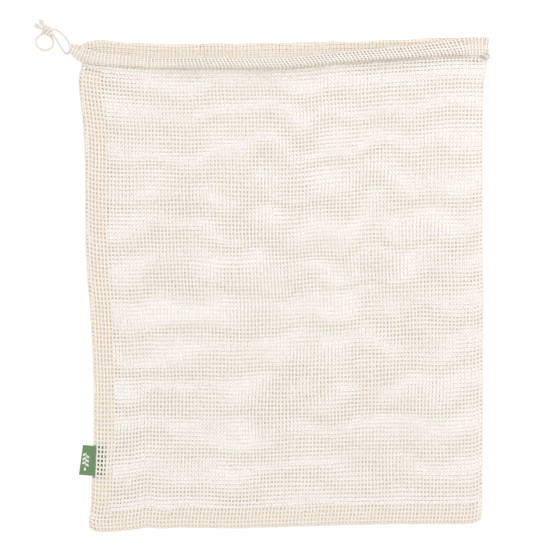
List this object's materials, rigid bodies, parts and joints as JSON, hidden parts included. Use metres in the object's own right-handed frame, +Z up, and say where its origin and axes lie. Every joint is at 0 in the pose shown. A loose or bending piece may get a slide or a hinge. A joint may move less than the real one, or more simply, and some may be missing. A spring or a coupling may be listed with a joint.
{
  "type": "mesh produce bag",
  "caption": "Flat rectangular drawstring bag of off-white cotton net, with a cord channel at its mouth, a knotted pull cord with a hanging ring, and a small side label.",
  "frame": {"origin": "underside of the back panel, at the middle of the lying bag, on the surface it rests on", "axes": "+X to the folded side, +Y to the mouth, +Z up from the surface, towards the front panel"},
  "size_m": [0.3721, 0.42, 0.0161],
  "materials": {
    "cotton_net": "matt knitted cotton net, off-white",
    "sewing_thread": "matt sewing thread, off-white",
    "cotton_cord": "matt braided cotton cord, off-white",
    "label_tape": "woven satin tape, leaf green",
    "label_motif": "woven white motif"
  },
  "bodies": {
    "bag": {"back_panel": "cotton_net", "front_panel": "cotton_net", "right_fold": "cotton_net", "side_seam_thread": "sewing_thread", "bottom_seam_thread": "sewing_thread", "side_seam_allowance": "cotton_net", "bottom_seam_allowance": "cotton_net", "back_hem_channel": "cotton_net", "front_hem_channel": "cotton_net", "hem_fold": "cotton_net", "cord_outlet": "cotton_net", "back_hem_stitching": "sewing_thread", "front_hem_stitching": "sewing_thread", "label_root": "label_tape"},
    "drawstring": {"drawstring_run": "cotton_cord", "drawstring_upper_leg": "cotton_cord", "drawstring_lower_leg": "cotton_cord", "stopper_knot": "cotton_cord", "frayed_tails": "cotton_cord"},
    "ring": {"hanging_ring": "cotton_cord"},
    "label": {"label_flap": "label_tape", "label_leaf": "label_motif"}
  },
  "joints": [
    {"name": "drawstring_pull", "type": "slide", "parent": "bag", "child": "drawstring", "axis": [-1, 0, 0], "range_m": [0, 0.2], "deforming": ["front_hem_channel", "back_hem_channel", "hem_fold", "cord_outlet", "front_hem_stitching", "back_hem_stitching"]},
    {"name": "ring_swing", "type": "hinge", "parent": "drawstring", "child": "ring", "pos_m": [-0.19573, 0.20328, 0.00095], "axis": [-0.9703, 0.2419, 0], "range_deg": [0, 90]},
    {"name": "label_flap_swing", "type": "hinge", "parent": "bag", "child": "label", "pos_m": [-0.158, -0.1323, 0.0018], "axis": [0.0698, 0.9976, 0], "range_deg": [0, 105]}
  ]
}
